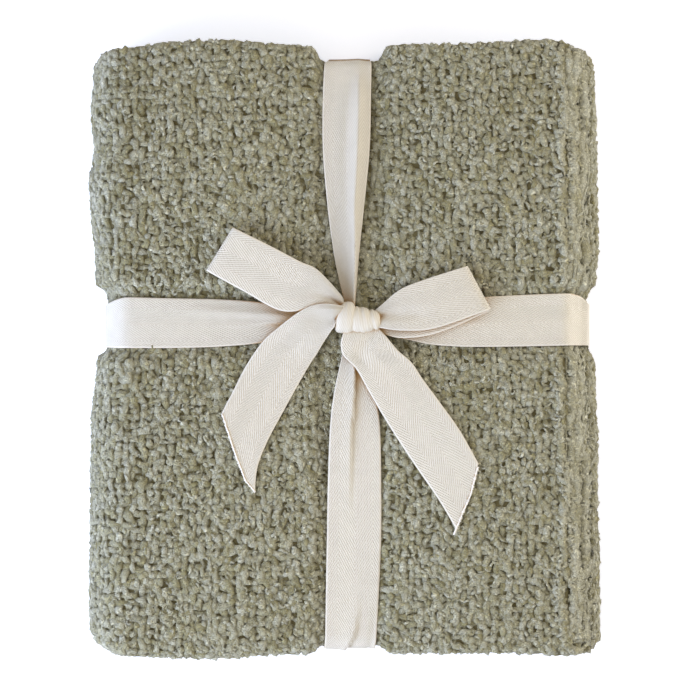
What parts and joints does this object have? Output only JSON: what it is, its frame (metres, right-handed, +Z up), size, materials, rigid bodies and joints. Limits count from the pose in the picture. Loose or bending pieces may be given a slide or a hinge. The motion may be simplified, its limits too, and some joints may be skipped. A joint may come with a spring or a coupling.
{
  "type": "folded boucle throw with ribbon tie",
  "caption": "Boucle throw folded to a flat rectangular stack, tied both ways round with a twill ribbon in a bow.",
  "frame": {"origin": "bottom centre of the folded stack, on the surface that it rests on", "axes": "+Y along the long side, away from the bow's cut ends; +X towards the side where the cloth's cut edges lie; +Z up through the stack"},
  "size_m": [0.3174, 0.3804, 0.0828],
  "materials": {
    "boucle": "woven boucle, soft and matte",
    "twill_tape": "cotton herringbone twill, satin"
  },
  "bodies": {
    "root": {"throw": "boucle", "ribbon": "twill_tape"}
  },
  "joints": []
}
